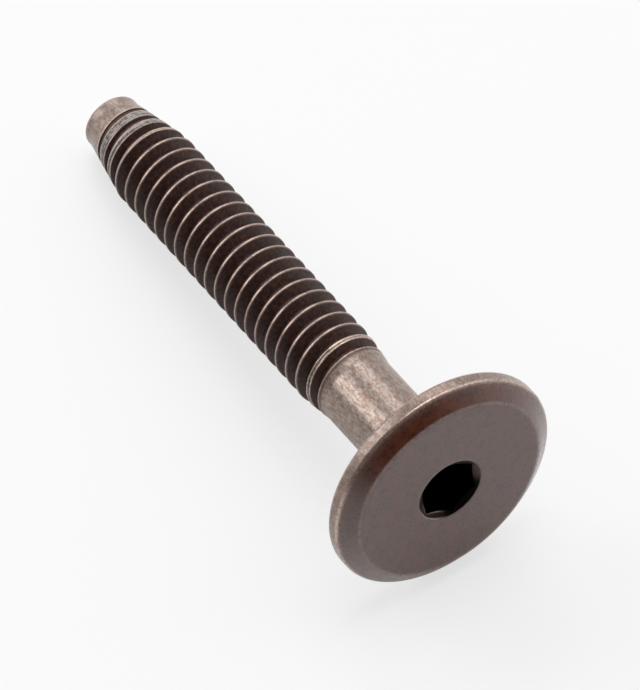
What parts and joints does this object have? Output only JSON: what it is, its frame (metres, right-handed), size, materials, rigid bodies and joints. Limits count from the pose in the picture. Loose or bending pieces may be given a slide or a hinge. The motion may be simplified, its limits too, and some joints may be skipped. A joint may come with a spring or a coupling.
{
  "type": "large flat head bolt",
  "caption": "Flat wide-headed bolt with a bevelled rim, a hex socket, a plain upper shank, a coarse right-hand thread and a short dog point.",
  "frame": {"origin": "centre of the head's flat face, on the bolt's axis", "axes": "+Z along the bolt's axis, from the head's flat face to the dog point; +X and +Y across it"},
  "size_m": [0.017, 0.017, 0.0425],
  "materials": {
    "bronze_plated_steel": "satin antique bronze plating over steel, darker in the thread and rubbed to copper on its crests"
  },
  "bodies": {
    "root": {"bolt": "bronze_plated_steel"}
  },
  "joints": []
}
